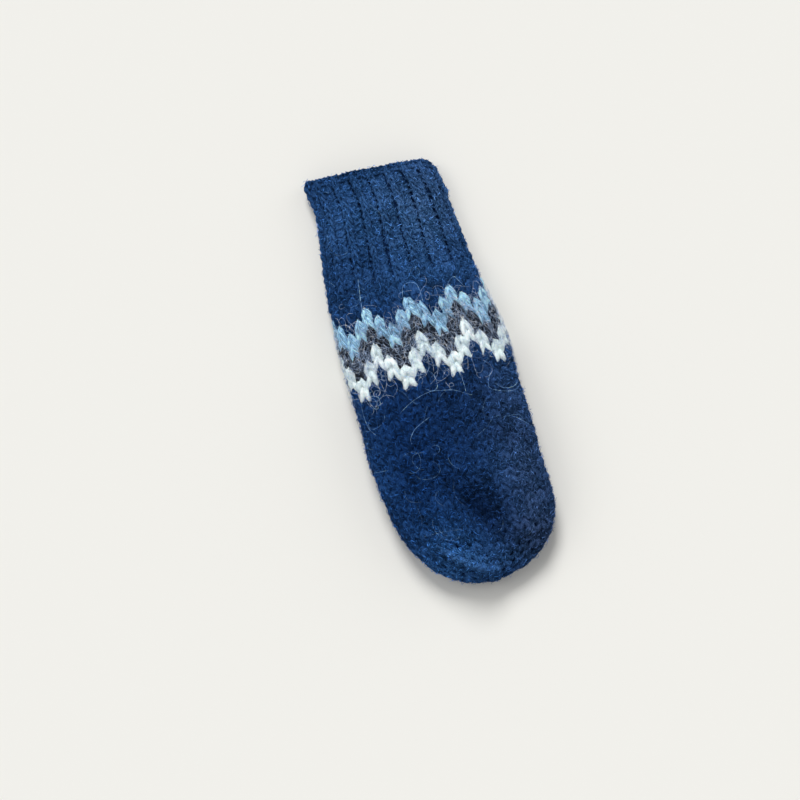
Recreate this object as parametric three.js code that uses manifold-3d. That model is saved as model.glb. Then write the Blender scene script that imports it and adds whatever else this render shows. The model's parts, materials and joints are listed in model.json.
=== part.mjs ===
// A hand-knitted wool mitten for the right hand, lying with the back of the hand up. Millimetres, +Z up.
// X runs across the hand, +Y points out of the cuff's mouth and -Y to the finger tip. The mitten is a flat
// tube of knitting, and each piece of it is a stretch of that tube's wall.
import * as THREE from "three";
import { mergeVertices } from "three/addons/utils/BufferGeometryUtils.js";
import Module from "manifold-3d";

// Lengths along the mitten, from the cuff's mouth to the finger tip
const CUFF_LENGTH = 68;
const WRIST_LENGTH = 20.4; // to the middle of the zigzag edge where the band starts
const COLOUR_LENGTH = 13.1; // two rows of one colour of the band
const HAND_LENGTH = 139.8; // from the middle of the band's last edge to the tip
const LEFT_ROUND_LENGTH = 67.5; // the stretch before the tip in which the left edge rounds off
const RIGHT_ROUND_LENGTH = 49.5;

// Widths and heights of the flat tube
const CUFF_MOUTH_WIDTH = 80;
const CUFF_BASE_WIDTH = 95;
const HAND_WIDTH = 105;
const CUFF_HEIGHT = 20;
const HAND_HEIGHT = 34;
const TIP_HEIGHT = 8; // of the closing point above the ground
const WALL = 4;
const MOUTH_SLANT = 4.6; // degrees, the right end of the mouth lies nearer to the tip

// The ribbing and the band
const RIB_COUNT = 16;
const RIB_DEPTH = 1.8;
const RIB_FADE_START = 0.85; // share of the cuff's length where the ribs begin to run out
const SCALLOP_DEPTH = 1.4; // of the mouth's edge between two ribs
const ZIGZAG_COUNT = 8;
const EDGE_GAP = 0.5; // along the tube between two pieces, about 0.3 mm square to their slanted edges

// The thumb, folded flat under the palm
const THUMB_LENGTH = 56;
const THUMB_WIDTH = 44;
const THUMB_HEIGHT = 16;
const THUMB_OFFSET = 22; // of its middle line from the hand's, towards the right edge
const THUMB_START = 26; // from the band's last edge to the thumb's base
const THUMB_HOLE_WIDTH = 28;
const THUMB_HOLE_LENGTH = 14;
const SEAT_GAP = 0.3; // between the thumb and the palm above it

// Roundness of the sections, as exponents of a superellipse
const BACK_ROUNDNESS = 2.3;
const PALM_ROUNDNESS = 3.6;
const LEFT_TIP_ROUNDNESS = 2;
const RIGHT_TIP_ROUNDNESS = 2.5;
const THUMB_ROUNDNESS = 2.6;
const EDGE_SHARE = 0.42; // height of the tube's side edges, as a share of its height
const GROUND_PRESS = 1.5; // how far the underside is pressed flat by the mitten's own weight

// Facets: columns round the tube are four to a rib and eight to a zigzag, rows run along each piece
const COLUMNS = 64;
const CUFF_ROWS = 9;
const WRIST_ROWS = 3;
const COLOUR_ROWS = 2;
const HAND_ROWS = 8;
const TIP_ROWS = 10;
const THUMB_ROWS = 12;
const THUMB_COLUMNS = 24;
const HOLE_SEGMENTS = 10; // to a quarter of the thumb hole's outline
const PROFILE_STEPS = 240; // steps in which a section's girth is measured
const WELD = 1e-4; // points nearer than this are one

const BAND_START = CUFF_LENGTH + WRIST_LENGTH;
const BAND_END = BAND_START + 3 * COLOUR_LENGTH;
const LENGTH = BAND_END + HAND_LENGTH;

// Sections of the tube. along is a share of the stretch's length, left and right are the edges' distances
// from the middle line as shares of the width there, and height is a share of the full height.
const CUFF_SECTIONS = [
  { along: 0.0, left: 0.54, right: 0.462, height: 0.86 },
  { along: 0.11, left: 0.53, right: 0.475, height: 1.0 },
  { along: 0.22, left: 0.5, right: 0.478, height: 1.0 },
  { along: 0.6, left: 0.51, right: 0.466, height: 1.0 },
  { along: 0.9, left: 0.522, right: 0.468, height: 0.94 },
];
const BAND_SECTIONS = [
  { along: 0.08, left: 0.482, right: 0.434, height: 0.67 },
  { along: 0.44, left: 0.49, right: 0.458, height: 0.8 },
  { along: 0.93, left: 0.5, right: 0.5, height: 0.93 },
];
const HAND_SECTIONS = [
  { along: 0.14, left: 0.495, right: 0.494, height: 0.98 },
  { along: 0.37, left: 0.505, right: 0.5, height: 1.0 },
  { along: 0.52, left: 0.482, right: 0.494, height: 0.97 },
  { along: 0.65, left: 0.482, right: 0.506, height: 0.93 },
];

// Edges of the band's colours. swing is half the zigzag's height, as a share of one colour's length.
const ZIGZAG_EDGES = [
  { edge: "navy to light blue", swing: 0.5 },
  { edge: "light blue to charcoal", swing: 0.655 },
  { edge: "charcoal to white", swing: 0.695 },
  { edge: "white to navy", swing: 0.635 },
];

// Soft dents and folds of the back. across is a share of half the hand's width and along of the whole
// length, angle turns the long side from the length towards +X, in degrees, long and wide are shares of the
// hand's width and depth of its height. A negative depth is a swelling.
const DENTS = [
  // fold below the knuckles
  { across: 0.08, along: 0.835, angle: -43, long: 0.27, wide: 0.11, depth: 0.11 },
  // swelling over the fingers
  { across: 0.55, along: 0.745, angle: 0, long: 0.2, wide: 0.17, depth: -0.05 },
  // closing ridge
  { across: -0.2, along: 0.937, angle: -58, long: 0.17, wide: 0.035, depth: -0.05 },
  // hollow beside the knuckles
  { across: -0.42, along: 0.62, angle: 10, long: 0.18, wide: 0.12, depth: 0.05 },
  // groove at the ribbing's end
  { across: 0.4, along: 0.255, angle: 86, long: 0.28, wide: 0.05, depth: 0.07 },
  // pinch in the ribbing
  { across: -0.12, along: 0.16, angle: 20, long: 0.12, wide: 0.08, depth: 0.05 },
];

const NAVY = 0x1d2f52;
const LIGHT_BLUE = 0x6f95bd;
const CHARCOAL = 0x34363d;
const WHITE = 0xdcdedd;

const wasm = await Module();
wasm.setup();

const { clamp, lerp, smoothstep, degToRad } = THREE.MathUtils;

// The section table as one list of stations, each with its distances in millimetres
const cuffWidth = (along) => lerp(CUFF_MOUTH_WIDTH, CUFF_BASE_WIDTH, along);
const station = (start, span, width, height) => (row) => ({
  at: start + span * row.along,
  left: row.left * width(row.along),
  right: row.right * width(row.along),
  height: row.height * height,
});
const handWidth = () => HAND_WIDTH;
const STATIONS = [
  ...CUFF_SECTIONS.map(station(0, CUFF_LENGTH, cuffWidth, CUFF_HEIGHT)),
  ...BAND_SECTIONS.map(station(CUFF_LENGTH, BAND_END - CUFF_LENGTH, handWidth, HAND_HEIGHT)),
  ...HAND_SECTIONS.map(station(BAND_END, HAND_LENGTH, handWidth, HAND_HEIGHT)),
];
const stationCurve = new THREE.CubicInterpolant(
  STATIONS.map((row) => row.at),
  STATIONS.flatMap((row) => [row.left, row.right, row.height]),
  3,
);
const TIP_X = (STATIONS.at(-1).right - STATIONS.at(-1).left) / 2;

// Quarter of a superellipse: 1 at share 0, falling to 0 at share 1
function roundOff(share, roundness) {
  return Math.pow(1 - Math.pow(clamp(share, 0, 1), roundness), 1 / roundness);
}

// Edges, top and underside of the tube at a distance from the mouth, drawn in by inset all round
function sizesAt(at, inset) {
  const [left, right, height] = stationCurve.evaluate(Math.min(at, STATIONS.at(-1).at));
  const end = LENGTH - inset;
  const close = (roundLength, roundness, power) =>
    Math.pow(roundOff((at - (LENGTH - roundLength)) / (end - (LENGTH - roundLength)), roundness), power);
  const leftShare = close(LEFT_ROUND_LENGTH, LEFT_TIP_ROUNDNESS, 1);
  const rightShare = close(RIGHT_ROUND_LENGTH, RIGHT_TIP_ROUNDNESS, RIGHT_TIP_ROUNDNESS / 2);
  const underShare = close(RIGHT_ROUND_LENGTH, LEFT_TIP_ROUNDNESS, 1);
  return {
    left: TIP_X - (left + TIP_X - inset) * leftShare,
    right: TIP_X + (right - TIP_X - inset) * rightShare,
    top: TIP_HEIGHT + (height - inset - TIP_HEIGHT) * leftShare,
    under: TIP_HEIGHT - (TIP_HEIGHT - inset) * underShare,
  };
}

// How far the palm is lifted by the thumb folded under it
const THUMB_BASE_AT = BAND_END + THUMB_START;
const THUMB_LIFT = THUMB_HEIGHT + SEAT_GAP;
const LIFT_EASE = 16; // length over which the palm comes down again beside the thumb
function palmLift(x, at) {
  const thumbEdge = THUMB_OFFSET - THUMB_WIDTH / 2;
  const across = smoothstep(x, thumbEdge - LIFT_EASE, thumbEdge);
  const rise = smoothstep(at, THUMB_BASE_AT - LIFT_EASE, THUMB_BASE_AT);
  const fall = 1 - smoothstep(at, THUMB_BASE_AT + THUMB_LENGTH, THUMB_BASE_AT + THUMB_LENGTH + LIFT_EASE);
  return THUMB_LIFT * across * rise * fall;
}

function dentDepth(x, at) {
  return DENTS.reduce((sum, dent) => {
    const turn = degToRad(dent.angle);
    const dx = x - (dent.across * HAND_WIDTH) / 2;
    const dy = dent.along * LENGTH - at;
    const lengthwise = (dy * Math.cos(turn) + dx * Math.sin(turn)) / (dent.long * HAND_WIDTH);
    const crosswise = (dx * Math.cos(turn) - dy * Math.sin(turn)) / (dent.wide * HAND_WIDTH);
    return sum + dent.depth * HAND_HEIGHT * Math.exp(-(lengthwise ** 2) - crosswise ** 2);
  }, 0);
}

// A point of the section before the ribs: angle 0 is the middle of the back, a quarter turn the right edge
function sectionPoint(sizes, at, inset, angle) {
  const back = Math.cos(angle) >= 0;
  const power = 2 / (back ? BACK_ROUNDNESS : PALM_ROUNDNESS);
  const across = Math.sign(Math.sin(angle)) * Math.pow(Math.abs(Math.sin(angle)), power);
  const up = Math.pow(Math.abs(Math.cos(angle)), power);
  const x = lerp(sizes.left, sizes.right, (across + 1) / 2);
  const lift = palmLift(x, at);
  const edge = lerp(sizes.under - inset, sizes.top + inset, EDGE_SHARE) + lift / 2;
  if (back) return new THREE.Vector2(x, edge + (sizes.top - edge - dentDepth(x, at)) * up);
  const pressed = edge - (edge - sizes.under - lift + GROUND_PRESS) * up;
  return new THREE.Vector2(x, Math.max(pressed, inset + lift));
}

// The section at a distance from the mouth, by share of its girth from the middle of the back
function section(at, inset) {
  const sizes = sizesAt(at, inset);
  const profile = [];
  const girth = [0];
  for (let i = 0; i <= PROFILE_STEPS; i += 1) {
    profile.push(sectionPoint(sizes, at, inset, (i / PROFILE_STEPS) * 2 * Math.PI));
    if (i > 0) girth.push(girth[i - 1] + profile[i].distanceTo(profile[i - 1]));
  }
  const ribFade = 1 - smoothstep(at, CUFF_LENGTH * RIB_FADE_START, CUFF_LENGTH);
  return (share) => {
    const wanted = share * girth[PROFILE_STEPS];
    let step = 0;
    while (girth[step + 1] < wanted && step < PROFILE_STEPS - 1) step += 1;
    const part = (wanted - girth[step]) / (girth[step + 1] - girth[step] || 1);
    const point = profile[step].clone().lerp(profile[step + 1], part);
    const along = profile[step + 1].clone().sub(profile[step]).normalize();
    const rib = (RIB_DEPTH / 2) * ribFade * Math.cos(2 * Math.PI * RIB_COUNT * share);
    point.x += -along.y * rib;
    point.y = Math.max(point.y + along.x * rib, inset);
    return point;
  };
}

// A point of the wall in the part's frame, with the mouth's slant
function wallPoint(at, column, inset) {
  const point = section(at, inset)(column / COLUMNS);
  const slant = Math.tan(degToRad(MOUTH_SLANT)) * clamp(1 - at / CUFF_LENGTH, 0, 1);
  return new THREE.Vector3(point.x, -at - slant * point.x, point.y);
}

// Adds two triangles between neighbouring rings of points, or one to a tip
function skin(triangles, rings, flip) {
  for (let i = 0; i + 1 < rings.length; i += 1) {
    for (let j = 0; j < rings[i].length; j += 1) {
      const next = (j + 1) % rings[i].length;
      const [a, b, c, d] = [rings[i][j], rings[i][next], rings[i + 1][next], rings[i + 1][j]];
      for (const face of [[a, b, c], [a, c, d]]) {
        if (new Set(face).size === 3) triangles.push(flip ? face : face.reverse());
      }
    }
  }
}

function solidFrom(triangles) {
  const geometry = new THREE.BufferGeometry().setFromPoints(triangles.flat());
  return mergeVertices(geometry, WELD);
}

const columnList = [...Array(COLUMNS).keys()];

// A stretch of wall between two edges, each a distance from the mouth for every column
function tubeStretch(startEdge, endEdge, rows) {
  const distance = (column, row) => lerp(startEdge(column), endEdge(column), row / rows);
  const rings = (inset) =>
    [...Array(rows + 1).keys()].map((row) =>
      columnList.map((column) => wallPoint(distance(column, row), column, inset)),
    );
  const outer = rings(0);
  const inner = rings(WALL);
  const triangles = [];
  skin(triangles, outer, false);
  skin(triangles, inner, true);
  skin(triangles, [inner[0], outer[0]], false);
  skin(triangles, [inner.at(-1), outer.at(-1)], true);
  return solidFrom(triangles);
}

// The wall from an edge to the round tip, where the last ring of stitches is drawn together
function closedStretch(startEdge, rows) {
  const rings = (inset) => {
    const end = LENGTH - inset;
    const round = [...Array(rows).keys()].map((row) => {
      const share = Math.sin(((row / rows) * Math.PI) / 2);
      return columnList.map((column) => wallPoint(lerp(startEdge(column), end, share), column, inset));
    });
    const tip = new THREE.Vector3(TIP_X, -end, TIP_HEIGHT);
    return [...round, columnList.map(() => tip)];
  };
  const outer = rings(0);
  const inner = rings(WALL);
  const triangles = [];
  skin(triangles, outer, false);
  skin(triangles, inner, true);
  skin(triangles, [inner[0], outer[0]], false);
  return solidFrom(triangles);
}

// The edges between the pieces: zigzags with their peaks towards the cuff
const zigzag = (column) => 1 - 4 * Math.abs(((column * ZIGZAG_COUNT) / COLUMNS + 0.5) % 1 - 0.5);
const ribTurn = (column) => (2 * Math.PI * RIB_COUNT * column) / COLUMNS;
const mouthEdge = (column) => (SCALLOP_DEPTH / 2) * (1 - Math.cos(ribTurn(column)));
const cuffEdge = (side) => () => CUFF_LENGTH + (side * EDGE_GAP) / 2;
const tipEdge = (side) => () => LENGTH - LEFT_ROUND_LENGTH + (side * EDGE_GAP) / 2;
const bandEdge = (index, side) => (column) =>
  BAND_START +
  index * COLOUR_LENGTH -
  ZIGZAG_EDGES[index].swing * COLOUR_LENGTH * zigzag(column) +
  (side * EDGE_GAP) / 2;

// The thumb's closed skin, drawn in by inset: flat above and below, with a round base and tip
function thumbSkin(inset) {
  const length = THUMB_LENGTH - 2 * inset;
  const rings = [];
  for (let row = 0; row <= THUMB_ROWS; row += 1) {
    const share = (1 - Math.cos((row / THUMB_ROWS) * Math.PI)) / 2;
    const ends = roundOff(Math.abs(2 * share - 1), THUMB_ROUNDNESS);
    rings.push(
      [...Array(THUMB_COLUMNS).keys()].map((column) => {
        const angle = (column / THUMB_COLUMNS) * 2 * Math.PI;
        const power = 2 / THUMB_ROUNDNESS;
        const across = Math.sign(Math.sin(angle)) * Math.pow(Math.abs(Math.sin(angle)), power);
        const up = Math.sign(Math.cos(angle)) * Math.pow(Math.abs(Math.cos(angle)), power);
        const halfHeight = THUMB_HEIGHT / 2 - inset;
        const pressed = clamp((halfHeight + GROUND_PRESS) * up * ends, -halfHeight, halfHeight);
        return new THREE.Vector3(
          THUMB_OFFSET + (THUMB_WIDTH / 2 - inset) * across * ends,
          -(THUMB_BASE_AT + inset + share * length),
          THUMB_HEIGHT / 2 + pressed,
        );
      }),
    );
  }
  rings[0].fill(rings[0][0]);
  rings[THUMB_ROWS].fill(rings[THUMB_ROWS][0]);
  const triangles = [];
  skin(triangles, rings, false);
  return solidFrom(triangles);
}

// Solids for cutting
function toManifold(geometry) {
  const bare = geometry.clone();
  bare.deleteAttribute("normal");
  bare.deleteAttribute("uv");
  const merged = mergeVertices(bare, WELD);
  return new wasm.Manifold(
    new wasm.Mesh({
      numProp: 3,
      vertProperties: merged.getAttribute("position").array,
      triVerts: new Uint32Array(merged.index.array),
    }),
  );
}

function toGeometry(manifold) {
  const mesh = manifold.getMesh();
  const geometry = new THREE.BufferGeometry();
  geometry.setAttribute("position", new THREE.BufferAttribute(mesh.vertProperties, 3));
  geometry.setIndex(new THREE.BufferAttribute(mesh.triVerts, 1));
  return geometry;
}

// The hole that the palm's wall and the thumb's upper wall share
const HOLE_MARGIN = 1.5; // how far the cut reaches past both walls
function thumbHole() {
  const outline = new THREE.Shape();
  outline.absellipse(0, 0, THUMB_HOLE_WIDTH / 2, THUMB_HOLE_LENGTH / 2, 0, 2 * Math.PI);
  const prism = new THREE.ExtrudeGeometry(outline, {
    depth: 2 * (WALL + HOLE_MARGIN) + SEAT_GAP,
    bevelEnabled: false,
    curveSegments: HOLE_SEGMENTS,
  });
  prism.translate(
    THUMB_OFFSET,
    -(THUMB_BASE_AT + 2 * WALL + THUMB_HOLE_LENGTH / 2),
    THUMB_HEIGHT - WALL - HOLE_MARGIN,
  );
  return toManifold(prism);
}

function handWithHole() {
  const wall = toManifold(tubeStretch(bandEdge(3, 1), tipEdge(-1), HAND_ROWS));
  return toGeometry(wall.subtract(thumbHole()));
}

function hollowThumb() {
  const outer = toManifold(thumbSkin(0));
  const inner = toManifold(thumbSkin(WALL));
  return toGeometry(outer.subtract(inner).subtract(thumbHole()));
}

const mitten = new THREE.Group();

function addPiece(name, geometry, color) {
  geometry.computeVertexNormals();
  const material = new THREE.MeshStandardMaterial({ color, roughness: 0.95, metalness: 0 });
  const mesh = new THREE.Mesh(geometry, material);
  mesh.name = name;
  mitten.add(mesh);
}

addPiece("ribbed_cuff", tubeStretch(mouthEdge, cuffEdge(-1), CUFF_ROWS), NAVY);
addPiece("wrist", tubeStretch(cuffEdge(1), bandEdge(0, -1), WRIST_ROWS), NAVY);
addPiece("light_blue_zigzag", tubeStretch(bandEdge(0, 1), bandEdge(1, -1), COLOUR_ROWS), LIGHT_BLUE);
addPiece("charcoal_zigzag", tubeStretch(bandEdge(1, 1), bandEdge(2, -1), COLOUR_ROWS), CHARCOAL);
addPiece("white_zigzag", tubeStretch(bandEdge(2, 1), bandEdge(3, -1), COLOUR_ROWS), WHITE);
addPiece("hand", handWithHole(), NAVY);
addPiece("fingertip", closedStretch(tipEdge(1), TIP_ROWS), NAVY);
addPiece("thumb", hollowThumb(), NAVY);

// The origin is under the middle of the mitten's box
const box = new THREE.Box3().setFromObject(mitten);
const middle = box.getCenter(new THREE.Vector3());
mitten.position.set(-middle.x, -middle.y, -box.min.z);

export default mitten;
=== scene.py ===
"""A hand-knitted wool mitten lying with its back up: every stitch is a loop of yarn laid on its wall."""
import json
import math

import bmesh
import bpy
import numpy as np
from bpy.props import (
    FloatProperty,
    FloatVectorProperty,
    IntProperty,
    PointerProperty,
)
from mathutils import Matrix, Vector
from mathutils.bvhtree import BVHTree

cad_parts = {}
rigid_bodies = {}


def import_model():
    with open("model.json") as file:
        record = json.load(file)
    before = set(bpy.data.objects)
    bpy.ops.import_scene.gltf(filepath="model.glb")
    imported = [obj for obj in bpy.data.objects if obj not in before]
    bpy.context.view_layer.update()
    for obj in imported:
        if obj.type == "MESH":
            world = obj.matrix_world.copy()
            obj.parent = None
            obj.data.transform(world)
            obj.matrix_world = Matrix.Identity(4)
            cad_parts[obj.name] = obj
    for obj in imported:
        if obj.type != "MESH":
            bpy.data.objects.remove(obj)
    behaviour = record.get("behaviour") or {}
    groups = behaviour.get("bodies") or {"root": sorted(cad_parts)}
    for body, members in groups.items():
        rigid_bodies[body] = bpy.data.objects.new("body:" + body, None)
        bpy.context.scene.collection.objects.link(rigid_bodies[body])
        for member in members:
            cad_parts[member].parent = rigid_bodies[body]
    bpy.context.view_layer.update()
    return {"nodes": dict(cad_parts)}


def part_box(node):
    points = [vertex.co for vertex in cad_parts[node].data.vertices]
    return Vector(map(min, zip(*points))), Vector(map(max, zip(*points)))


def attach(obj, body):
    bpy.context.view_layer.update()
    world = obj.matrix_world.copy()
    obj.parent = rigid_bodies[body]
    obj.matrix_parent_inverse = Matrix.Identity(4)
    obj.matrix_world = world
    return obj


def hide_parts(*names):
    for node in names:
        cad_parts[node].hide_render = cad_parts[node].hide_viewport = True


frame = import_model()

bl_info = {
    "name": "Knitted mitten",
    "version": (1, 0, 0),
    "blender": (4, 5, 0),
    "location": "View3D > Sidebar > Mitten",
    "description": "Knits a wool mitten stitch by stitch over its solid walls",
    "category": "Object",
}

MITTEN_NODES = (
    "ribbed_cuff",
    "wrist",
    "light_blue_zigzag",
    "charcoal_zigzag",
    "white_zigzag",
    "hand",
    "fingertip",
)

# Lengths of the mitten from the cuff's mouth to the finger tip, in metres
CUFF_END = 0.068
BAND_START = 0.08184
BAND_ROW = 0.00656
LENGTH = 0.2675
TIP_LENGTH = 0.0675
THUMB_BOX = [list(corner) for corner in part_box("thumb")]
MOUTH_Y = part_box("fingertip")[0][1] + LENGTH
MOUTH_SLOPE = math.tan(math.radians(4.6))

# How the rows are numbered: cuff, wrist, band, then the hand to its tip
CUFF_ROWS = 15
WRIST_ROWS = 3
BAND_ROWS = 8
WRIST_TOP = CUFF_ROWS
BAND_TOP = WRIST_TOP + WRIST_ROWS
HAND_TOP = BAND_TOP + BAND_ROWS

# The surface is measured in this many rays round the tube and kept at this many shares of its girth
RAYS = 300
SHARES = 256
SHARE_REACH = 0.75
FIRST_ROW = -3.0
ROW_PARTS = 4

# A row's height, the mitten's girth and the floor's clearance, in metres
HAND_ROW = 0.0052
GIRTH = 0.22
CLEARANCE = 0.0002


# Settings that a user would change

def length(name, description, default):
    return FloatProperty(name=name, description=description, default=default, unit="LENGTH")


def wool_colour(name, description, *default):
    return FloatVectorProperty(name=name, description=description, default=default, subtype="COLOR")


class MittenKnit(bpy.types.PropertyGroup):
    stitches: IntProperty(
        name="Stitches round", description="Stitches in a full round, a multiple of four", default=32, min=8
    )
    hand_row: length("Hand row", "Height of a row over the hand", HAND_ROW)
    yarn_radius: length("Yarn radius", "Radius of the wool where a stitch is fattest", 0.0019)
    loop_depth: length("Loop depth", "How far a leg lies in front of the wall's middle", 0.0012)
    wall_middle: length("Wall middle", "Depth of the knitting's middle below the wall's outside", 0.0021)
    rib_rise: length("Rib rise", "How far a rib stands up from the cuff's mean surface", 0.0011)
    sway: FloatProperty(
        name="Unevenness", description="How far stitches stray from their places, in stitches",
        default=0.05, subtype="FACTOR",
    )


class MittenWool(bpy.types.PropertyGroup):
    navy: wool_colour("Navy", "Colour of the navy wool", 0.0037, 0.0225, 0.084)
    light_blue: wool_colour("Light blue", "Colour of the light blue wool", 0.31, 0.62, 0.98)
    charcoal: wool_colour("Charcoal", "Colour of the charcoal wool", 0.008, 0.011, 0.02)
    white: wool_colour("White", "Colour of the white wool", 0.84, 1.0, 1.0)
    band_hair: wool_colour("Band hair", "Colour of the curly hairs of the charcoal wool", 0.42, 0.57, 0.84)
    hair: wool_colour("Stray hair", "Colour of the long pale hairs", 0.28, 0.54, 1.0)


class MittenFuzz(bpy.types.PropertyGroup):
    density: FloatProperty(
        name="Fibres", description="Loose fibres on a square metre of yarn", default=240000.0
    )
    radius: length("Fibre radius", "Radius of a loose fibre", 0.00011)
    hair_radius: length("Hair radius", "Radius of a long stray hair", 0.0001)
    hairs: IntProperty(
        name="Stray hairs", description="Long hairs scattered over the mitten", default=90
    )
    band_hairs: IntProperty(
        name="Band hairs", description="Curly hairs that come out of the charcoal wool", default=1300
    )
    seed: IntProperty(name="Seed", description="Seed of everything that is random", default=7)


class MittenStage(bpy.types.PropertyGroup):
    camera_height: length("Camera height", "Height of the camera over the floor", 1.12)
    lens: FloatProperty(name="Lens", description="Focal length in millimetres", default=79.2)
    turn: FloatProperty(
        name="Turn", description="How far the mitten's cuff leans to the left in the picture",
        default=math.radians(16), subtype="ANGLE",
    )
    aim_x: length("Aim across", "Middle of the picture across the mitten", -0.0236)
    aim_y: length("Aim along", "Middle of the picture along the mitten", -0.0098)


# Building node trees

class Graph:
    """Adds nodes to a tree, with their inputs linked or set by name or index."""

    def __init__(self, tree):
        self.tree = tree

    def add(self, kind, inputs=None, **settings):
        node = self.tree.nodes.new(kind)
        for name, value in settings.items():
            setattr(node, name, value)
        self.set(node, inputs or {})
        return node

    def set(self, node, inputs):
        for key, value in inputs.items():
            socket = node.inputs[key]
            if isinstance(value, bpy.types.NodeSocket):
                self.tree.links.new(value, socket)
            else:
                socket.default_value = value

    def math(self, operation, *values, clamp=False):
        node = self.add("ShaderNodeMath", dict(enumerate(values)), operation=operation, use_clamp=clamp)
        return node.outputs[0]

    def chain(self, operation, values):
        result = values[0]
        for value in values[1:]:
            result = self.math(operation, result, value)
        return result

    def total(self, *values):
        return self.chain("ADD", values)

    def product(self, *values):
        return self.chain("MULTIPLY", values)

    def minus(self, value, less):
        return self.math("SUBTRACT", value, less)

    def vector(self, operation, *values):
        node = self.add("ShaderNodeVectorMath", dict(enumerate(values)), operation=operation)
        return node.outputs[0]

    def split(self, vector):
        return self.add("ShaderNodeSeparateXYZ", {0: vector}).outputs

    def join(self, x=0.0, y=0.0, z=0.0):
        return self.add("ShaderNodeCombineXYZ", {0: x, 1: y, 2: z}).outputs[0]

    def attribute(self, name, data_type="FLOAT_VECTOR"):
        node = self.add("GeometryNodeInputNamedAttribute", {"Name": name}, data_type=data_type)
        return node.outputs["Attribute"]

    def painted(self, name, output="Vector"):
        return self.add("ShaderNodeAttribute", attribute_name=name).outputs[output]

    def noise(self, place, scale, detail, roughness=0.5, distortion=0.0):
        inputs = {"Vector": place, "Scale": scale, "Detail": detail}
        inputs.update({"Roughness": roughness, "Distortion": distortion})
        return self.add("ShaderNodeTexNoise", inputs).outputs[0]

    def ramp(self, value, *stops):
        """Colours over a value, as pairs of place and colour from low to high."""
        node = self.add("ShaderNodeValToRGB", {0: value})
        elements = node.color_ramp.elements
        for place, _ in stops[1:-1]:
            elements.new(place)
        for element, (place, colour) in zip(elements, stops):
            element.position = place
            element.color = (*colour, 1.0)
        return node.outputs[0]


def geometry_tree(name, sockets):
    """A new geometry tree with its named inputs: its graph and the group's inputs."""
    tree = bpy.data.node_groups.new(name, "GeometryNodeTree")
    tree.interface.new_socket("Geometry", in_out="INPUT", socket_type="NodeSocketGeometry")
    for label, kind in sockets.items():
        tree.interface.new_socket(label, in_out="INPUT", socket_type="NodeSocket" + kind)
    tree.interface.new_socket("Geometry", in_out="OUTPUT", socket_type="NodeSocketGeometry")
    graph = Graph(tree)
    return graph, graph.add("NodeGroupInput").outputs


def close_tree(graph, geometry, material):
    """Ends a geometry tree with its realized shape in its material."""
    real = graph.add("GeometryNodeRealizeInstances", {"Geometry": geometry})
    coat = graph.add(
        "GeometryNodeSetMaterial", {"Geometry": real.outputs["Geometry"], "Material": material}
    )
    graph.add("NodeGroupOutput", {0: coat.outputs["Geometry"]})


def new_object(name, data):
    obj = bpy.data.objects.new(name, data)
    bpy.context.scene.collection.objects.link(obj)
    return obj


def plain_mesh(obj):
    """An object's mesh with its modifiers applied."""
    depsgraph = bpy.context.evaluated_depsgraph_get()
    return bpy.data.meshes.new_from_object(obj.evaluated_get(depsgraph))


def run_tree(obj, tree, values, name):
    """The plain mesh that a geometry tree makes of an object, as a new object."""
    modifier = obj.modifiers.new(tree.name, "NODES")
    modifier.node_group = tree
    for item in tree.interface.items_tree:
        if item.item_type == "SOCKET" and item.in_out == "INPUT" and item.name in values:
            modifier[item.identifier] = values[item.name]
    obj.update_tag()
    mesh = plain_mesh(obj)
    obj.modifiers.remove(modifier)
    mesh.name = name
    used = [material for material in mesh.materials if material]
    mesh.materials.clear()
    for material in used:
        mesh.materials.append(material)
    mesh.polygons.foreach_set("material_index", [0] * len(mesh.polygons))
    return new_object(name, mesh)


def add_object(name, vertices, faces, edges=()):
    mesh = bpy.data.meshes.new(name)
    mesh.from_pydata([tuple(v) for v in vertices], list(edges), [tuple(f) for f in faces])
    mesh.update()
    return new_object(name, mesh)


def add_attribute(mesh, name, values):
    """A number or a vector for every point."""
    values = np.asarray(values, dtype=np.float32)
    kind, key = ("FLOAT", "value") if values.ndim == 1 else ("FLOAT_VECTOR", "vector")
    layer = mesh.attributes.new(name, kind, "POINT")
    layer.data.foreach_set(key, values.ravel())


def smooth_faces(mesh):
    for face in mesh.polygons:
        face.use_smooth = True


def map_yarn(mesh, places):
    """Shades a yarn smoothly and gives it a UV map that runs along it and round it."""
    layer = mesh.uv_layers.new(name="yarn")
    layer.data.foreach_set("uv", np.array(places, dtype=np.float32).ravel())
    smooth_faces(mesh)


def remove(*objects):
    for obj in objects:
        bpy.data.objects.remove(obj, do_unlink=True)


# The wall's surface, measured on the solids

def mesh_tree(meshes):
    """The faces of some meshes, for rays to meet."""
    vertices = []
    faces = []
    for mesh in meshes:
        first = len(vertices)
        vertices.extend(vertex.co.copy() for vertex in mesh.vertices)
        faces.extend([first + index for index in face.vertices] for face in mesh.polygons)
    return BVHTree.FromPolygons(vertices, faces)


def slope_at(at):
    return MOUTH_SLOPE * min(max(1 - at / CUFF_END, 0.0), 1.0)


def section_radii(tree, centre, at, rays):
    """Distances from the centre to the outside of the wall, all round one section."""
    slope = slope_at(at)
    reach = 0.11
    radii = np.zeros(rays)
    for index in range(rays):
        angle = 2 * math.pi * index / rays
        side, up = math.sin(angle), math.cos(angle)
        x = centre[0] + reach * side
        start = Vector((x, MOUTH_Y - at - slope * x, centre[1] + reach * up))
        spot = tree.ray_cast(start, Vector((-side, slope * side, -up)).normalized(), 0.3)[0]
        if spot is not None:
            radii[index] = (spot.x - centre[0]) * side + (spot.z - centre[1]) * up
    return radii


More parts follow.
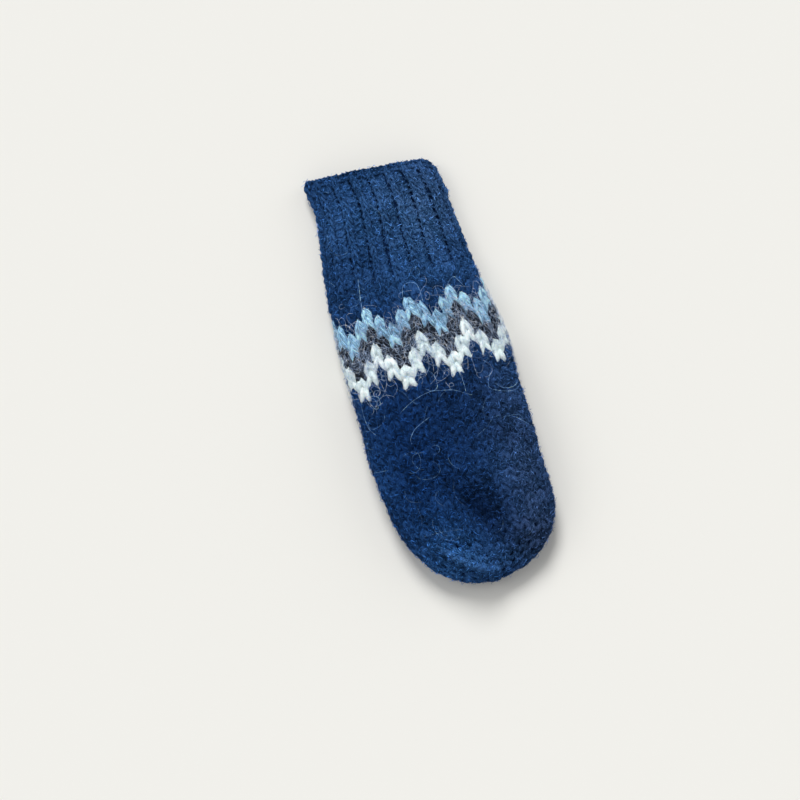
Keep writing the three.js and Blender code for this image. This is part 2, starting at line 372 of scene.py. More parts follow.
def section_centre(tree, at, guess):
    """The middle between the edges, and between top and underside there."""
    angles = np.arange(48) * 2 * math.pi / 48
    radii = section_radii(tree, guess, at, 48)
    across = guess[0] + np.maximum(radii, 0.0) * np.sin(angles)
    x = (across.min() + across.max()) / 2
    y = MOUTH_Y - at - slope_at(at) * x
    above = tree.ray_cast(Vector((x, y, 0.1)), Vector((0, 0, -1)))[0]
    below = tree.ray_cast(Vector((x, y, -0.1)), Vector((0, 0, 1)))[0]
    if above is None or below is None or above.z - below.z < 0.001:
        return x, guess[1]
    return x, (above.z + below.z) / 2


def fill_gaps(radii):
    """Bridges what a hole in the wall leaves open."""
    known = radii > 0.001
    for shift in (-2, -1, 1, 2):
        known = known & (np.roll(radii, shift) > 0.001)
    if known.all() or not known.any():
        return radii
    count = len(radii)
    spots = np.flatnonzero(known)
    return np.interp(np.arange(count), spots, radii[spots], period=count)


def share_section(points):
    """A closed section's points, spread evenly along its girth from the first one."""
    closed = np.vstack([points, points[:1]])
    girth = np.concatenate([[0.0], np.cumsum(np.linalg.norm(np.diff(closed, axis=0), axis=1))])
    wanted = np.arange(SHARES) / SHARES * girth[-1]
    return np.stack([np.interp(wanted, girth, closed[:, axis]) for axis in (0, 1)], axis=1)


def smooth(values, width, axis, wrap):
    """A bell-shaped blur along one axis of a grid."""
    reach = int(math.ceil(3 * width))
    weights = np.exp(-0.5 * (np.arange(-reach, reach + 1) / width) ** 2)
    weights /= weights.sum()
    padding = [(0, 0)] * values.ndim
    padding[axis] = (reach, reach)
    padded = np.pad(values, padding, mode="wrap" if wrap else "edge")
    total = np.zeros_like(values)
    for step, weight in enumerate(weights):
        window = [slice(None)] * values.ndim
        window[axis] = slice(step, step + values.shape[axis])
        total += weight * padded[tuple(window)]
    return total


def outward(grid):
    """Unit normals of a grid of points, levels by shares."""
    round_way = np.roll(grid, -1, axis=1) - np.roll(grid, 1, axis=1)
    along = np.gradient(grid, axis=0)
    normals = np.cross(along, round_way)
    return normals / np.maximum(np.linalg.norm(normals, axis=2, keepdims=True), 1e-12)


# Folds of the back: middle across and along in millimetres, heading of the fold in degrees, half length,
# half widths on its two sides, and rise
FOLDS = (
    (4, -94, -58, 32, 10, 5.5, -6.8),
    (16, -70, -35, 26, 8, 8, 1.6),
    (-11, -105, -55, 20, 9, 9, 3.0),
    (32, -66, -10, 12, 8, 8, 1.2),
    (26, -108, 30, 16, 10, 10, 2.0),
    (-12, -116, -40, 18, 2.4, 2.4, 2.4),
    (-8.5, -111.5, -40, 17, 2, 2, -1.2),
    (-20, -34, -80, 26, 9, 9, -1.4),
    (-38, -30, -85, 26, 6, 6, 0.8),
    (6, -30, -60, 18, 7, 7, 0.7),
    (28, -48, -35, 16, 6, 6, -1.2),
    (-4, 88, -85, 10, 5, 5, -1.6),
    (26, 62, 0, 22, 4, 4, -1.5),
    (-30, 62, 10, 14, 5, 5, -0.8),
)


# The ridge of fat stitches where the tip was closed, from end to end in millimetres
RIDGE = ((-27, -103), (4, -129))

# Painted light and shade: where the wool is painted paler or darker than its mean, paler on the lit lobes,
# the edges, the tip, the wrist and the cuff, darker in the shade of the dent: middle in millimetres, half
# widths, and gain
PAINTED_LIGHT_PLACES = (
    (0, 108, 70, 38, 1.6),
    (20, 90, 24, 30, 0.9),
    (0, 58, 60, 16, 0.55),
    (-18, -112, 24, 15, 1.6),
    (-24, -92, 20, 14, 0.35),
    (0, -124, 34, 9, 1.1),
    (36, -94, 18, 34, 0.7),
    (46, -20, 15, 60, 0.6),
    (26, -66, 16, 12, 0.3),
    (-46, -60, 9, 50, 0.3),
    (10, -98, 16, 22, -0.48),
    (-14, -30, 26, 24, -0.15),
)


# Painted sheen: where the navy is painted greyer, as a grazing light's sheen makes it, mostly on the right
# side, and less grey on the left: middle in millimetres, half widths, and strength
PAINTED_SHEEN_PLACES = (
    (42, -70, 20, 75, 0.8),
    (34, -115, 20, 18, 0.6),
    (30, 108, 30, 30, 0.4),
    (-26, -50, 30, 70, -0.3),
)


def wear(x, y, places=PAINTED_LIGHT_PLACES):
    """The painted light and shade at a place of the back, from a table of places: how much paler or darker
    it is painted.
    """
    total = np.ones_like(x)
    for middle_x, middle_y, half_x, half_y, gain in places:
        dx, dy = (1000 * x - middle_x) / half_x, (1000 * y - middle_y) / half_y
        total += gain * np.exp(-(dx**2) - dy**2)
    return total


def painted_light_tint(points, grey=1.0):
    """The painted light and shade at some points, greyed where the painted sheen lies, as gains of red,
    green and blue.
    """
    pale = wear(points[..., 0], points[..., 1])
    return np.stack([pale**1.3 * grey, pale**1.12 * grey**0.15, pale**0.85 * grey**-0.15], axis=-1)


def fold_rise(x, y):
    """How far the folds lift the back at a place, in metres."""
    total = np.zeros_like(x)
    for middle_x, middle_y, heading, half_length, half_left, half_right, rise in FOLDS:
        along = np.array([math.cos(math.radians(heading)), math.sin(math.radians(heading))])
        dx, dy = 1000 * x - middle_x, 1000 * y - middle_y
        far = dx * along[0] + dy * along[1]
        side = dx * -along[1] + dy * along[0]
        width = np.where(side > 0, half_left, half_right)
        total += 0.001 * rise * np.exp(-((far / half_length) ** 2) - (side / width) ** 2)
    return total


class Surface:
    """The middle of the knitted wall, by row and by share of the girth."""

    def __init__(self, levels, outside, pole, depth, first_pole=None):
        self.levels = levels
        self.normals = outward(outside)
        self.girths = np.linalg.norm(np.roll(outside, -1, axis=1) - outside, axis=2).sum(axis=1)
        self.middle = outside - depth * self.normals
        self.close(len(levels), pole, depth, -1.0)
        if first_pole is not None:
            self.close(0, first_pole, depth, 1.0)

    def close(self, index, pole, depth, heading):
        """Adds a level without girth at a pole, which faces along the mitten."""
        end = np.array(pole) - (0.0, heading * depth, 0.0)
        self.levels = np.insert(self.levels, index, MOUTH_Y - end[1])
        self.girths = np.insert(self.girths, index, 0.0)
        self.middle = np.insert(self.middle, index, end, axis=0)
        self.normals = np.insert(self.normals, index, (0.0, heading, 0.0), axis=0)

    def set_rows(self, start_arc, rows_to_arc):
        """Measures lengths along the wall from a level on, and takes the function from row to length."""
        steps = np.linalg.norm(np.diff(self.middle, axis=0), axis=2).mean(axis=1)
        plain = np.diff(self.levels)
        self.arcs = np.concatenate([[0.0], np.cumsum(np.where(self.levels[1:] < start_arc, plain, steps))])
        self.arcs += self.levels[0]
        self.rows_to_arc = rows_to_arc

    def at(self, row, share):
        """Middle points and normals at rows and shares of the girth."""
        arc = self.rows_to_arc(row, share)
        place = np.interp(arc, self.arcs, np.arange(len(self.arcs)))
        low = np.clip(np.floor(place).astype(int), 0, len(self.arcs) - 2)
        part = (place - low)[..., None]
        round_place = (share % 1.0) * SHARES
        left = np.floor(round_place).astype(int)
        side = (round_place - left)[..., None]
        left %= SHARES
        right = (left + 1) % SHARES

        def blend(grid):
            near = grid[low, left] * (1 - side) + grid[low, right] * side
            far = grid[low + 1, left] * (1 - side) + grid[low + 1, right] * side
            return near * (1 - part) + far * part

        normals = blend(self.normals)
        return blend(self.middle), normals / np.linalg.norm(normals, axis=-1, keepdims=True)

    def in_row(self, row, values):
        """What a list over the levels says at the back's middle in a row."""
        arc = self.rows_to_arc(np.array([float(row)]), np.array([0.0]))
        return float(np.interp(arc, self.arcs, values)[0])


def mitten_levels():
    plain = np.arange(0.0022, LENGTH - 0.016, 0.0015)
    turns = np.linspace(0, math.radians(86), 22)
    closing = LENGTH - 0.016 * (1 - np.sin(turns))
    return np.concatenate([plain, closing])


def measure_mitten(depth):
    """The mitten's surface from the mouth to the tip, without its ribs."""
    tree = mesh_tree(frame["nodes"][name].data for name in MITTEN_NODES)
    levels = mitten_levels()
    angles = np.arange(RAYS) * 2 * math.pi / RAYS
    sections = [None] * len(levels)
    middle = int(np.searchsorted(levels, 0.1))
    for order in (range(middle, -1, -1), range(middle, len(levels))):
        centre = (0.0, 0.015)
        for index in order:
            at = levels[index]
            for _ in range(2):
                centre = section_centre(tree, at, centre)
            spread = (-0.0007, 0.0, 0.0007) if at < LENGTH - 0.05 else (0.0,)
            radii = np.max([section_radii(tree, centre, at + move, RAYS) for move in spread], axis=0)
            radii = fill_gaps(radii)
            flat = np.stack(
                [centre[0] + radii * np.sin(angles), centre[1] + radii * np.cos(angles)], axis=1
            )
            sections[index] = share_section(flat)
    flat = np.array(sections)
    shares = np.arange(SHARES) / SHARES
    fade = 1 - np.clip((levels / CUFF_END - 0.85) / 0.15, 0, 1)
    fade = fade * fade * (3 - 2 * fade)
    fade[levels > CUFF_END] = 0.0
    tangent = np.roll(flat, -1, axis=1) - np.roll(flat, 1, axis=1)
    tangent /= np.linalg.norm(tangent, axis=2, keepdims=True)
    rib = 0.0009 * fade[:, None] * np.cos(32 * math.pi * shares)[None, :]
    flat[..., 0] += tangent[..., 1] * rib
    flat[..., 1] -= tangent[..., 0] * rib
    slopes = np.array([slope_at(at) for at in levels])
    y = MOUTH_Y - levels[:, None] - slopes[:, None] * flat[..., 0]
    outside = np.stack([flat[..., 0], y, flat[..., 1]], axis=2)
    outside = smooth(outside, 1.6, 1, True)
    outside[:, :, (0, 2)] = smooth(outside[:, :, (0, 2)], 1.7, 0, False)
    flare = np.exp(-((levels / 0.009) ** 2))[:, None] * np.clip(-outside[..., 0] / 0.03 - 0.2, 0, 1)
    outside[..., 0] -= 0.001 * flare
    back = np.clip(outward(outside)[..., 2] * 1.6, 0, 1)
    outside[..., 2] += back * fold_rise(outside[..., 0], outside[..., 1])
    before = outside[:1].copy()
    before[..., 1] = MOUTH_Y + 0.014 - MOUTH_SLOPE * before[..., 0]
    outside = np.concatenate([before, outside])
    levels = np.insert(levels, 0, -0.014)
    tip_mesh = frame["nodes"]["fingertip"].data
    tip = min((vertex.co for vertex in tip_mesh.vertices), key=lambda co: co.y)
    return Surface(levels, outside, tuple(tip), depth)


def measure_thumb(depth):
    """The folded thumb's surface, round at both ends."""
    tree = mesh_tree([frame["nodes"]["thumb"].data])
    low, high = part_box("thumb")
    centre = ((low[0] + high[0]) / 2, (low[2] + high[2]) / 2)
    start, end = MOUTH_Y - high[1], MOUTH_Y - low[1]
    turns = np.linspace(math.radians(12), math.radians(168), 60)
    levels = (start + end) / 2 - (end - start) / 2 * np.cos(turns)
    angles = np.arange(RAYS) * 2 * math.pi / RAYS
    sections = []
    for at in levels:
        radii = fill_gaps(section_radii(tree, centre, at, RAYS))
        flat = np.stack([centre[0] + radii * np.sin(angles), centre[1] + radii * np.cos(angles)], axis=1)
        sections.append(share_section(flat))
    flat = np.array(sections)
    y = np.broadcast_to(MOUTH_Y - levels[:, None], flat.shape[:2])
    outside = np.stack([flat[..., 0], y, flat[..., 1]], axis=2)
    outside = smooth(outside, 1.6, 1, True)
    first = (centre[0], high[1], centre[1])
    last = (centre[0], low[1], centre[1])
    return Surface(levels, outside, last, depth, first)


# Rows of the chart

def zigzag(share):
    """1 at a peak of the zigzag, which points to the cuff, and -1 in a valley."""
    return 1 - 4 * np.abs((share * 8 + 0.5) % 1 - 0.5)


def mitten_rows(row, share):
    """Length along the wall where a row starts, with the ripple that the chart gives the band."""
    hand_start = BAND_START + BAND_ROWS * BAND_ROW
    hand_row = made["hand_row"]
    base = np.interp(
        row,
        [FIRST_ROW - 1, 0, WRIST_TOP, BAND_TOP, HAND_TOP],
        [(FIRST_ROW - 1) * 0.0045, 0.0, CUFF_END, BAND_START, hand_start],
    )
    base = np.where(row > HAND_TOP, hand_start + (row - HAND_TOP) * hand_row, base)
    peak = zigzag(share)
    chart_row = (row - BAND_TOP) - (1 - peak)
    ripple = np.interp(chart_row, [0, 2, 4, 6, 10], [0, 0.31, 0.39, 0.27, 0]) * BAND_ROW
    corner = np.exp(-(((share + 0.5) % 1 - 0.75) / 0.035) ** 2)
    rounded = 0.0026 * corner * np.clip(1 - row / 7, 0, 1.3) ** 2
    return base - ripple * peak + rounded


def chart_colour(row, column):
    """The wool of a stitch: rows count from the band's first, and a zigzag is four stitches wide."""
    offset = (0, 1, 2, 1)[column % 4]
    place = row - BAND_TOP - offset
    if row < BAND_TOP or place < 0:
        return "wrist" if row >= WRIST_TOP else "ribbed_cuff"
    if place < 2:
        return "light_blue_zigzag"
    if place < 4:
        return "charcoal_zigzag"
    if place < 6:
        return "white_zigzag"
    return "hand"


# What the pieces share: the surfaces, guides, stitches and template
made = {"hand_row": HAND_ROW}


def guide_object(name, surface, rows):
    """A fine grid over a surface whose UV map is share and row, on which the loops are laid."""
    columns = int(2 * SHARE_REACH * 128) + 1
    row_list = np.linspace(FIRST_ROW, rows, int((rows - FIRST_ROW) * ROW_PARTS) + 1)
    shares = np.linspace(-SHARE_REACH, SHARE_REACH, columns)
    row_grid, share_grid = np.meshgrid(row_list, shares, indexing="ij")
    wander = 0.0022 * np.sin(row_grid * 0.21 + 2.6 * np.sin(share_grid * 2 * math.pi * 2 + 1.0))
    points, normals = surface.at(row_grid, share_grid + wander * np.clip(row_grid / 6, 0, 1))
    count = len(row_list)
    index = np.arange(count * columns).reshape(count, columns)
    corners = [index[:-1, :-1], index[:-1, 1:], index[1:, 1:], index[1:, :-1]]
    faces = np.stack(corners, axis=-1).reshape(-1, 4)
    obj = add_object(name, points.reshape(-1, 3), faces.tolist())
    across = (share_grid + SHARE_REACH) / (2 * SHARE_REACH)
    along = (row_grid - FIRST_ROW) / (rows - FIRST_ROW)
    chart = np.stack([across, along, np.zeros_like(across)], axis=-1)
    add_attribute(obj.data, "chart", chart)
    add_attribute(obj.data, "outward", normals)
    # Painted light and shade, greyed by the painted sheen, for the wool's colour to be multiplied by
    grey = wear(points[..., 0], points[..., 1], PAINTED_SHEEN_PLACES)
    add_attribute(obj.data, "wear", painted_light_tint(points, grey))
    return obj


LOOP_TURNS = (-184, -138, -112, -86, -56, -20, 20, 56, 86, 112, 138, 184)
LOOP_SIDES = 6


def loop_centre(turn, pinch=0.268, reach=0.98):
    return np.array([
        turn / (2 * math.pi) + pinch * math.sin(2 * turn),
        reach * math.cos(turn),
        -math.cos(2 * turn),
    ])


def stitch_loop(settings):
    """One loop of yarn: its legs lie in front and its head and feet behind."""
    width, height, depth = 0.0072, 0.0054, settings.loop_depth
    size = np.array([width, height, depth])
    rings = []
    paths = []
    skins = []
    lengths = [0.0]
    for step, degrees in enumerate(LOOP_TURNS):
        turn = math.radians(degrees)
        path = loop_centre(turn)
        tangent = (loop_centre(turn + 0.01) - loop_centre(turn - 0.01)) * size
        tangent /= np.linalg.norm(tangent)
        side = np.cross(tangent, (0, 0, 1))
        side /= np.linalg.norm(side)
        lift = np.cross(side, tangent)
        leg = math.sin(turn) ** 2
        radius = settings.yarn_radius * (0.7 + 0.3 * leg)
        ring = []
        for corner in range(LOOP_SIDES):
            angle = 2 * math.pi * (corner + 0.5) / LOOP_SIDES - math.pi / 2
            skin = radius * (math.cos(angle) * side + 0.86 * math.sin(angle) * lift)
            ring.append(len(paths))
            paths.append((path[0], path[1], path[2]))
            skins.append((skin[0] / width, skin[1] / height, skin[2]))
        rings.append(ring)
        if step:
            previous = loop_centre(math.radians(LOOP_TURNS[step - 1]))
            lengths.append(lengths[-1] + float(np.linalg.norm((path - previous) * size)))
    faces = []
    yarn = []
    for step in range(len(rings) - 1):
        for corner in range(LOOP_SIDES):
            after = (corner + 1) % LOOP_SIDES
            here, ahead = rings[step], rings[step + 1]
            faces.append((here[after], ahead[after], ahead[corner], here[corner]))
            near, far = lengths[step] / lengths[-1], lengths[step + 1] / lengths[-1]
            low, high = corner / LOOP_SIDES, (corner + 1) / LOOP_SIDES
            yarn.extend([(near, high), (far, high), (far, low), (near, low)])
    faces.append(tuple(reversed(rings[0])))
    faces.append(tuple(rings[-1]))
    yarn.extend([(0.0, 0.5)] * LOOP_SIDES + [(1.0, 0.5)] * LOOP_SIDES)
    shown = np.array(paths) * size + np.array(skins) * (width, height, 1)
    obj = add_object("stitch_loop", shown, faces)
    add_attribute(obj.data, "path", paths)
    add_attribute(obj.data, "skin", skins)
    map_yarn(obj.data, yarn)
    return obj


def knit_tree():
    """Lays a loop on the guide at every stitch and keeps it above the floor."""
    graph, given = geometry_tree("Knit stitches", {
        "Loop": "Object",
        "Guide": "Object",
        "Loop depth": "Float",
        "First row": "Float",
        "Row span": "Float",
        "Floor": "Float",
        "Wool": "Material",
    })
    loop = graph.add("GeometryNodeObjectInfo", {"Object": given["Loop"]})
    guide = graph.add("GeometryNodeObjectInfo", {"Object": given["Guide"]})
    laid = graph.add(
        "GeometryNodeInstanceOnPoints",
        {"Points": given["Geometry"], "Instance": loop.outputs["Geometry"]},
    )
    kept = graph.add("GeometryNodeRealizeInstances", {"Geometry": laid.outputs["Instances"]})

    path, skin, place, form, stray = (
        graph.split(graph.attribute(name)) for name in ("path", "skin", "place", "form", "stray")
    )
    thick = graph.attribute("thick", "FLOAT")
    across = graph.total(
        path[0], graph.product(skin[0], thick), stray[0], graph.product(stray[2], path[1])
    )
    along = graph.total(graph.product(path[1], form[2]), graph.product(skin[1], thick), stray[1])
    front = graph.total(
        graph.product(path[2], form[0], given["Loop depth"]), graph.product(skin[2], thick), form[1]
    )
    share = graph.total(place[0], graph.product(across, place[2]), SHARE_REACH)
    share = graph.math("DIVIDE", share, 2 * SHARE_REACH)
    row = graph.minus(graph.total(place[1], along), given["First row"])
    row = graph.math("DIVIDE", row, given["Row span"])
    row = graph.math("MINIMUM", graph.math("MAXIMUM", row, 0.0005), 0.9995)
    spot = graph.join(share, row)
    chart = graph.attribute("chart")

    def sampled(value):
        node = graph.add("GeometryNodeSampleUVSurface", data_type="FLOAT_VECTOR")
        sockets = {socket.name: socket for socket in node.inputs if socket.enabled}
        sources = {
            "Mesh": guide.outputs["Geometry"],
            "Value": value,
            "UV Map": chart,
            "Source UV Map": chart,
            "Sample UV": spot,
        }
        for name, source in sources.items():
            if name in sockets:
                graph.tree.links.new(source, sockets[name])
        return next(socket for socket in node.outputs if socket.name == "Value" and socket.enabled)

    middle = sampled(graph.add("GeometryNodeInputPosition").outputs[0])
    normal = sampled(graph.attribute("outward"))
    raised = graph.add("ShaderNodeVectorMath", {0: normal, "Scale": front}, operation="SCALE").outputs[0]
    x, y, z = graph.split(graph.vector("ADD", middle, raised))[:3]
    # The painted light and shade go with each stitch
    for label, value in (("outward", normal), ("wear", sampled(graph.attribute("wear")))):
        kept = graph.add(
            "GeometryNodeStoreNamedAttribute",
            {"Geometry": kept.outputs["Geometry"], "Name": label, "Value": value},
            data_type="FLOAT_VECTOR",
            domain="POINT",
        )
    spot_above = graph.join(x, y, graph.math("MAXIMUM", z, given["Floor"]))
    moved = graph.add(
        "GeometryNodeSetPosition", {"Geometry": kept.outputs["Geometry"], "Position": spot_above}
    )
    close_tree(graph, moved.outputs["Geometry"], given["Wool"])
    return graph.tree


def stitch_points(name, stitches):
    """A point for every stitch, with what the knit tree reads."""
    obj = add_object(name, [(0.0, 0.0, 0.0)] * len(stitches), [])
    for key in ("place", "form", "stray", "thick", "tone"):
        add_attribute(obj.data, key, [item[key] for item in stitches])
    return obj


def stitch(
    row, column, count, settings, random, purl=1.0, rise=0.0, reach=1.0, wide=1.0, thick=1.0, lean=0.0
):
    """One stitch: its place in the chart, its form, and how it strays from both."""
    share = column / count
    if share > 0.5:
        share -= 1.0
    sway = settings.sway
    rise_stray = 0.00022 * random.standard_normal()
    reach_stray = 1 + 0.04 * random.standard_normal()
    return {
        "place": (share, row + 0.5, wide / count),
        "form": (purl, rise + rise_stray, reach * reach_stray),
        "stray": (
            sway * random.standard_normal(),
            1.3 * sway * random.standard_normal(),
            lean + 0.9 * sway * random.standard_normal(),
        ),
        "thick": thick * (1 + 0.06 * random.standard_normal()),
        "tone": float(random.random()),
    }


def stitches_in(row, surface, settings, pitch):
    """How many stitches a row has: a full round, then fewer by fours as the tip rounds off."""
    girth = surface.in_row(row + 0.5, surface.girths)
    wanted = 4 * round(girth / (4 * pitch))
    return int(min(max(wanted, 4), settings.stitches))


def prepare(settings):
    """Measures the surfaces and makes the guides, the loop and the tree once."""
    if "knit" in made:
        return
    made["random"] = np.random.default_rng(bpy.context.scene.mitten_fuzz.seed)
    surface = measure_mitten(settings.wall_middle)
    hand_start = BAND_START + BAND_ROWS * BAND_ROW
    surface.set_rows(hand_start, mitten_rows)
    hand_length = surface.arcs[-1] - hand_start
    hand_rows = round(hand_length / settings.hand_row)
    made["hand_row"] = hand_length / hand_rows
    made["rows"] = HAND_TOP + hand_rows
    made["surface"] = surface
    made["guide"] = guide_object("mitten_guide", surface, made["rows"])

    thumb = measure_thumb(settings.wall_middle)
    thumb.set_rows(-1.0, lambda row, share: row)
    length = thumb.arcs[-1] - thumb.arcs[0]
    thumb_rows = round(length / settings.hand_row)
    start = thumb.arcs[0]
    thumb.rows_to_arc = lambda row, share: start + np.clip(row, 0, thumb_rows) * length / thumb_rows
    made["thumb_rows"] = thumb_rows
    made["thumb_surface"] = thumb
    made["thumb_guide"] = guide_object("thumb_guide", thumb, thumb_rows)

    made["loop"] = stitch_loop(settings)
    made["knit"] = knit_tree()


def hole_share(point):
    """How far a point lies from the middle of the hole between palm and thumb, in shares of the hole."""
    low, high = THUMB_BOX
    middle_x = (low[0] + high[0]) / 2
    middle_y = high[1] - 0.015
    return math.hypot((point[0] - middle_x) / 0.014, (point[1] - middle_y) / 0.007)


def leave_out_hole(stitches, surface):
    """Drops the stitches whose place is the open thumb hole."""
    kept = []
    for item in stitches:
        share, row, _ = item["place"]
        point, normal = surface.at(np.array([row]), np.array([share]))
        facing = -normal[0][2] if surface is made["surface"] else normal[0][2]
        if facing > 0.5 and hole_share(point[0]) < 1.0:
            continue
        kept.append(item)
    return kept


def thicken_ridge(item, surface):
    """Fattens a stitch that lies on the ridge where the tip was closed."""
    share, row, _ = item["place"]
    point, normal = surface.at(np.array([row]), np.array([share]))
    start, end = RIDGE
    span = (end[0] - start[0], end[1] - start[1])
    x, y = 1000 * point[0][0] - start[0], 1000 * point[0][1] - start[1]
    length = math.hypot(*span)
    along = (x * span[0] + y * span[1]) / length
    side = (x * span[1] - y * span[0]) / length
    if normal[0][2] > 0.2 and -2 < along < length + 2 and abs(side) < 3.2:
        item["thick"] *= 1.25
        item["form"] = (item["form"][0], item["form"][1] + 0.0009, item["form"][2])


def mitten_stitches(settings):
    """Every stitch of the mitten, sorted by the piece that it belongs to."""
    if "stitches" in made:
        return made["stitches"]
    random = made["random"]
    surface = made["surface"]
    pieces = {name: [] for name in MITTEN_NODES}
    round_count = settings.stitches
    for column in range(2 * round_count):
        edge = stitch(
            -0.62, column, 2 * round_count, settings, random, purl=-0.6, reach=0.42, wide=2.0, thick=0.95
        )
        pieces["ribbed_cuff"].append(edge)
    fewest = round_count
    for row in range(made["rows"]):
        if row < CUFF_ROWS:
            fade = 1.0 if row < CUFF_ROWS - 2 else 0.6
            for column in range(round_count):
                knit = column % 2 == 0
                item = stitch(
                    row, column, round_count, settings, random,
                    purl=1.0 if knit else -0.5,
                    rise=(settings.rib_rise if knit else -0.5 * settings.rib_rise) * fade,
                    wide=0.72 if knit else 1.16,
                    thick=0.92 if knit else 1.06,
                    lean=0.1 if knit else 0.0,
                )
                # Painted light and shade: the cuff's stitches get a paler tone than the hand's, and the purl
                # stitches between the ribs a darker one than the knit stitches
                item["tone"] = item["tone"] * 0.4 + (0.5 if knit else 0.4)
                if not knit:
                    item["stray"] = (item["stray"][0] - 0.14, *item["stray"][1:])
                pieces["ribbed_cuff"].append(item)
            continue
        count = stitches_in(row, surface, settings, 0.0069)
        fewest = min(fewest, count)
        for column in range(fewest):
            name = chart_colour(row, column) if fewest == round_count else "hand"
            if surface.in_row(row + 0.5, surface.levels) > LENGTH - TIP_LENGTH:
                name = "fingertip"
            thick = {"white_zigzag": 1.1, "charcoal_zigzag": 1.06}.get(name, 1.0)
            pieces[name].append(stitch(row, column, fewest, settings, random, thick=thick))
    for name in ("hand", "fingertip"):
        for item in pieces[name]:
            thicken_ridge(item, surface)
    pieces["hand"] = leave_out_hole(pieces["hand"], surface)
    made["stitches"] = pieces
    return pieces


def height_over(tree, x, y):
    """Height of what lies highest at a place of the back."""
    spot = tree.ray_cast(Vector((x, y, 0.08)), Vector((0, 0, -1)))[0]
    return spot.z if spot is not None else 0.012


def twist_ridge(knitted):
    """The two twisted ends of yarn that close the tip, lying on its back as a ridge."""
    radius, swing, pitch, steps, sides = 0.0014, 0.0011, 0.0085, 64, 6
    start, end = (np.array(point) / 1000 for point in RIDGE)
    length = float(np.linalg.norm(end - start))
    ahead = (end - start) / length
    line = start + np.linspace(0, 1, steps)[:, None] * (end - start)
    line += np.outer(0.0016 * np.sin(np.linspace(0, math.pi, steps)), (ahead[1], -ahead[0]))
    heights = np.array([[height_over(knitted, x, y)] for x, y in line])
    line = np.hstack([line, smooth(heights, 4.0, 0, False) - 0.0003])
    side = np.array([ahead[1], -ahead[0], 0.0])
    up = np.array([0, 0, 1.0])
    swung = swing * np.sin(np.linspace(0.12, 0.88, steps) * math.pi)[:, None]
    vertices = []
    faces = []
    yarn = []
    for strand in range(2):
        phase = 2 * math.pi * np.arange(steps) * length / (steps * pitch) + math.pi * strand
        path = line + swung * (np.cos(phase)[:, None] * side + 0.7 * np.sin(phase)[:, None] * up)
        tangents = np.gradient(path, axis=0)
        tangents /= np.linalg.norm(tangents, axis=1, keepdims=True)
        first = len(vertices)
        for step in range(steps):
            across = np.cross(tangents[step], up)
            across /= np.linalg.norm(across)
            lift = np.cross(tangents[step], across)
            width = radius * (1 - 0.6 * abs(2 * step / (steps - 1) - 1) ** 6)
            for corner in range(sides):
                angle = 2 * math.pi * corner / sides
                vertices.append(path[step] + width * (math.cos(angle) * across + math.sin(angle) * lift))
        for step in range(steps - 1):
            base = first + step * sides
            for corner in range(sides):
                after = (corner + 1) % sides
                faces.append((base + corner, base + after, base + sides + after, base + sides + corner))
                near, far = step / 8, (step + 1) / 8
                low, high = corner / sides, (corner + 1) / sides
                yarn.extend([(near, low), (near, high), (far, high), (far, low)])
        faces.append(tuple(first + corner for corner in reversed(range(sides))))
        faces.append(tuple(len(vertices) - sides + corner for corner in range(sides)))
        yarn.extend([(0.0, 0.5)] * 2 * sides)
    piece = add_object("closing_ridge", vertices, faces)
    map_yarn(piece.data, yarn)
    places = np.array(vertices)
    # The ridge takes the painted light and shade of the back
    add_attribute(piece.data, "wear", painted_light_tint(places))
    add_attribute(piece.data, "outward", np.tile(up, (len(places), 1)))
    add_attribute(piece.data, "tone", np.full(len(places), 0.9))
    piece.data.materials.append(yarn_wool("navy"))
    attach(piece, "root")


def knit_piece(node, stitches, guide, rows):
    """Knits one node's stitches on a guide: a zigzag in the wool of its name, all else in navy."""
    name = node.removesuffix("_zigzag")
    kind = name if name in WOOLS else "navy"
    points = stitch_points(name + "_points", stitches)
    values = {
        "Loop": made["loop"],
        "Guide": guide,
        "Loop depth": bpy.context.scene.mitten_knit.loop_depth,
        "First row": FIRST_ROW,
        "Row span": rows - FIRST_ROW,
        "Floor": 0.00005,
        "Wool": yarn_wool(kind),
    }
    piece = run_tree(points, made["knit"], values, name + "_knit")
    remove(points)
    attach(piece, "root")
    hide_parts(node)
    return piece


# Each wool's pale and dark shades, share of streaks, relief, tint of its sheen, and whether it takes the
# painted light and shade
WOOLS = {
    "navy": ((2.3, 0.02), (0.3, 0.0), 0.4, 0.9, (0.2, 0.45, 0.9), True),
    "light_blue": ((2.6, 0.6), (0.3, 0.0), 0.7, 0.7, (0.7, 0.85, 1.0), False),
    "charcoal": ((2.6, 0.05), (0.4, 0.0), 0.4, 0.9, (0.5, 0.55, 0.65), False),
    "white": ((1.2, 0.0), (0.84, 0.0), 0.6, 0.5, (1.0, 1.0, 1.0), False),
}


def shade(colour, factor, grey=0.0):
    """A colour made lighter or darker, and drawn towards a pale grey."""
    pale = (0.5, 0.56, 0.62)
    return tuple(min(c * factor * (1 - grey) + p * grey, 1.0) for c, p in zip(colour, pale))


def new_material(name):
    """A new material with its graph and its shader."""
    material = bpy.data.materials.new(name)
    material.use_nodes = True
    return material, Graph(material.node_tree), material.node_tree.nodes["Principled BSDF"]


